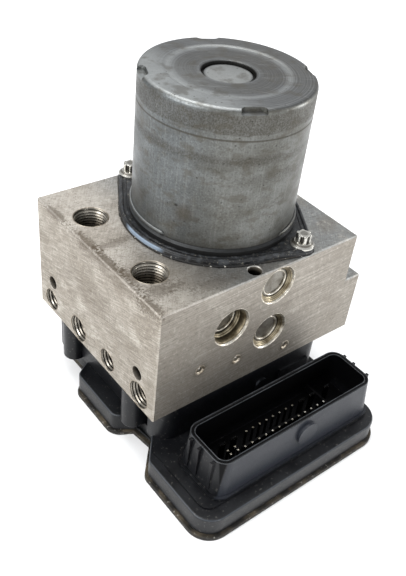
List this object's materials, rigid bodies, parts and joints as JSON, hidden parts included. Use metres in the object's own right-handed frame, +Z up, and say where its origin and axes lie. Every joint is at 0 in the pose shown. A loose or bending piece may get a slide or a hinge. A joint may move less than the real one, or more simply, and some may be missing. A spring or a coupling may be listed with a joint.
{
  "type": "abs brake module",
  "caption": "Brake hydraulic unit: drilled aluminium block with threaded pipe ports, pump motor on top, and a plastic control unit with a plug shroud below.",
  "frame": {"origin": "on the pump motor's axis, at the underside of the control unit's lid, which it rests on", "axes": "+Z up along the motor's axis and out of the master cylinder ports; -X out of the wheel ports; -Y towards the plug shroud"},
  "size_m": [0.113, 0.1308, 0.1451],
  "materials": {
    "block_aluminium": "machined and brushed, stained",
    "can_steel": "dull zinc plate, worn and pitted",
    "plate_steel": "black coated stamping",
    "screw_steel": "bright zinc plate",
    "plug_steel": "turned steel, silvery",
    "inner_steel": "ground steel",
    "spring_steel": "spring wire",
    "magnet_ferrite": "dark grey ferrite",
    "copper": "enamelled wire and copper bars",
    "carbon": "pressed carbon",
    "pin_metal": "tinned contact",
    "seal_rubber": "black rubber",
    "housing_plastic": "black glass-filled moulding",
    "lid_plastic": "dusty dark moulding",
    "inner_plastic": "brown moulding",
    "board": "green circuit board"
  },
  "bodies": {
    "unit": {"accumulator_cap_front": "plug_steel", "accumulator_cap_rear": "plug_steel", "accumulator_spring_front": "spring_steel", "accumulator_spring_rear": "spring_steel", "ball_plugs": "screw_steel", "brush_holder": "inner_plastic", "brush_left": "carbon", "brush_right": "carbon", "brush_springs": "spring_steel", "circuit_board": "board", "damper_cap_front": "plug_steel", "damper_cap_rear": "plug_steel", "ecu_housing": "housing_plastic", "ecu_lid": "lid_plastic", "ecu_screws": "screw_steel", "ecu_seal": "seal_rubber", "inlet_coils": "copper", "inlet_valve_bodies": "inner_steel", "lid_seam": "seal_rubber", "lower_bearing_outer": "inner_steel", "magnet_left": "magnet_ferrite", "magnet_right": "magnet_ferrite", "motor_can": "can_steel", "motor_end_plate": "plate_steel", "motor_gasket": "seal_rubber", "motor_lead_insulator": "inner_plastic", "motor_lead_pins": "pin_metal", "motor_screws": "screw_steel", "outlet_coils": "copper", "outlet_valve_bodies": "inner_steel", "power_blades": "pin_metal", "pump_cap_front": "plug_steel", "pump_cap_rear": "plug_steel", "pump_sleeve_front": "inner_steel", "pump_sleeve_rear": "inner_steel", "pump_spring_front": "spring_steel", "pump_spring_rear": "spring_steel", "signal_pins": "pin_metal", "upper_bearing_outer": "inner_steel", "valve_block": "block_aluminium", "valve_springs": "spring_steel"},
    "rotor": {"rotor_shaft": "inner_steel", "armature_core": "inner_steel", "armature_windings": "copper", "commutator": "copper", "upper_bearing_inner": "inner_steel", "lower_bearing_inner": "inner_steel"},
    "eccentric_ring": {"eccentric_ring": "inner_steel"},
    "pump_piston_front": {"pump_piston_front": "inner_steel"},
    "accumulator_piston_front": {"accumulator_piston_front": "inner_steel"},
    "pump_piston_rear": {"pump_piston_rear": "inner_steel"},
    "accumulator_piston_rear": {"accumulator_piston_rear": "inner_steel"},
    "inlet_armature_1": {"inlet_armature_1": "inner_steel"},
    "inlet_armature_2": {"inlet_armature_2": "inner_steel"},
    "inlet_armature_3": {"inlet_armature_3": "inner_steel"},
    "inlet_armature_4": {"inlet_armature_4": "inner_steel"},
    "outlet_armature_1": {"outlet_armature_1": "inner_steel"},
    "outlet_armature_2": {"outlet_armature_2": "inner_steel"},
    "outlet_armature_3": {"outlet_armature_3": "inner_steel"},
    "outlet_armature_4": {"outlet_armature_4": "inner_steel"}
  },
  "joints": [
    {"name": "rotor_spin", "type": "hinge", "parent": "unit", "child": "rotor", "pos_m": [0, 0, 0.1], "axis": [0, 0, 1], "continuous": true},
    {"name": "ring_spin", "type": "hinge", "parent": "rotor", "child": "eccentric_ring", "pos_m": [0, 0.0015, 0.0744], "axis": [0, 0, 1], "continuous": true},
    {"name": "pump_piston_front_stroke", "type": "slide", "parent": "unit", "child": "pump_piston_front", "axis": [0, -1, 0], "range_m": [0, 0.003], "stiffness_N_per_m": 800, "springref_m": -0.003, "deforming": ["pump_spring_front"]},
    {"name": "accumulator_front_stroke", "type": "slide", "parent": "unit", "child": "accumulator_piston_front", "axis": [0, -1, 0], "range_m": [0, 0.008], "stiffness_N_per_m": 400, "springref_m": -0.003, "deforming": ["accumulator_spring_front"]},
    {"name": "pump_piston_rear_stroke", "type": "slide", "parent": "unit", "child": "pump_piston_rear", "axis": [0, 1, 0], "range_m": [0, 0.003], "stiffness_N_per_m": 800, "springref_m": -0.003, "deforming": ["pump_spring_rear"]},
    {"name": "accumulator_rear_stroke", "type": "slide", "parent": "unit", "child": "accumulator_piston_rear", "axis": [0, 1, 0], "range_m": [0, 0.008], "stiffness_N_per_m": 400, "springref_m": -0.003, "deforming": ["accumulator_spring_rear"]},
    {"name": "inlet_armature_1_stroke", "type": "slide", "parent": "unit", "child": "inlet_armature_1", "axis": [0, 0, 1], "range_m": [0, 0.0003], "stiffness_N_per_m": 400, "springref_m": -0.001},
    {"name": "inlet_armature_2_stroke", "type": "slide", "parent": "unit", "child": "inlet_armature_2", "axis": [0, 0, 1], "range_m": [0, 0.0003], "stiffness_N_per_m": 400, "springref_m": -0.001},
    {"name": "inlet_armature_3_stroke", "type": "slide", "parent": "unit", "child": "inlet_armature_3", "axis": [0, 0, 1], "range_m": [0, 0.0003], "stiffness_N_per_m": 400, "springref_m": -0.001},
    {"name": "inlet_armature_4_stroke", "type": "slide", "parent": "unit", "child": "inlet_armature_4", "axis": [0, 0, 1], "range_m": [0, 0.0003], "stiffness_N_per_m": 400, "springref_m": -0.001},
    {"name": "outlet_armature_1_stroke", "type": "slide", "parent": "unit", "child": "outlet_armature_1", "axis": [0, 0, -1], "range_m": [0, 0.0003], "stiffness_N_per_m": 400, "springref_m": -0.001},
    {"name": "outlet_armature_2_stroke", "type": "slide", "parent": "unit", "child": "outlet_armature_2", "axis": [0, 0, -1], "range_m": [0, 0.0003], "stiffness_N_per_m": 400, "springref_m": -0.001},
    {"name": "outlet_armature_3_stroke", "type": "slide", "parent": "unit", "child": "outlet_armature_3", "axis": [0, 0, -1], "range_m": [0, 0.0003], "stiffness_N_per_m": 400, "springref_m": -0.001},
    {"name": "outlet_armature_4_stroke", "type": "slide", "parent": "unit", "child": "outlet_armature_4", "axis": [0, 0, -1], "range_m": [0, 0.0003], "stiffness_N_per_m": 400, "springref_m": -0.001}
  ],
  "couplings": [
    {"joint": "ring_spin", "follows": "rotor_spin", "ratio": -1}
  ]
}
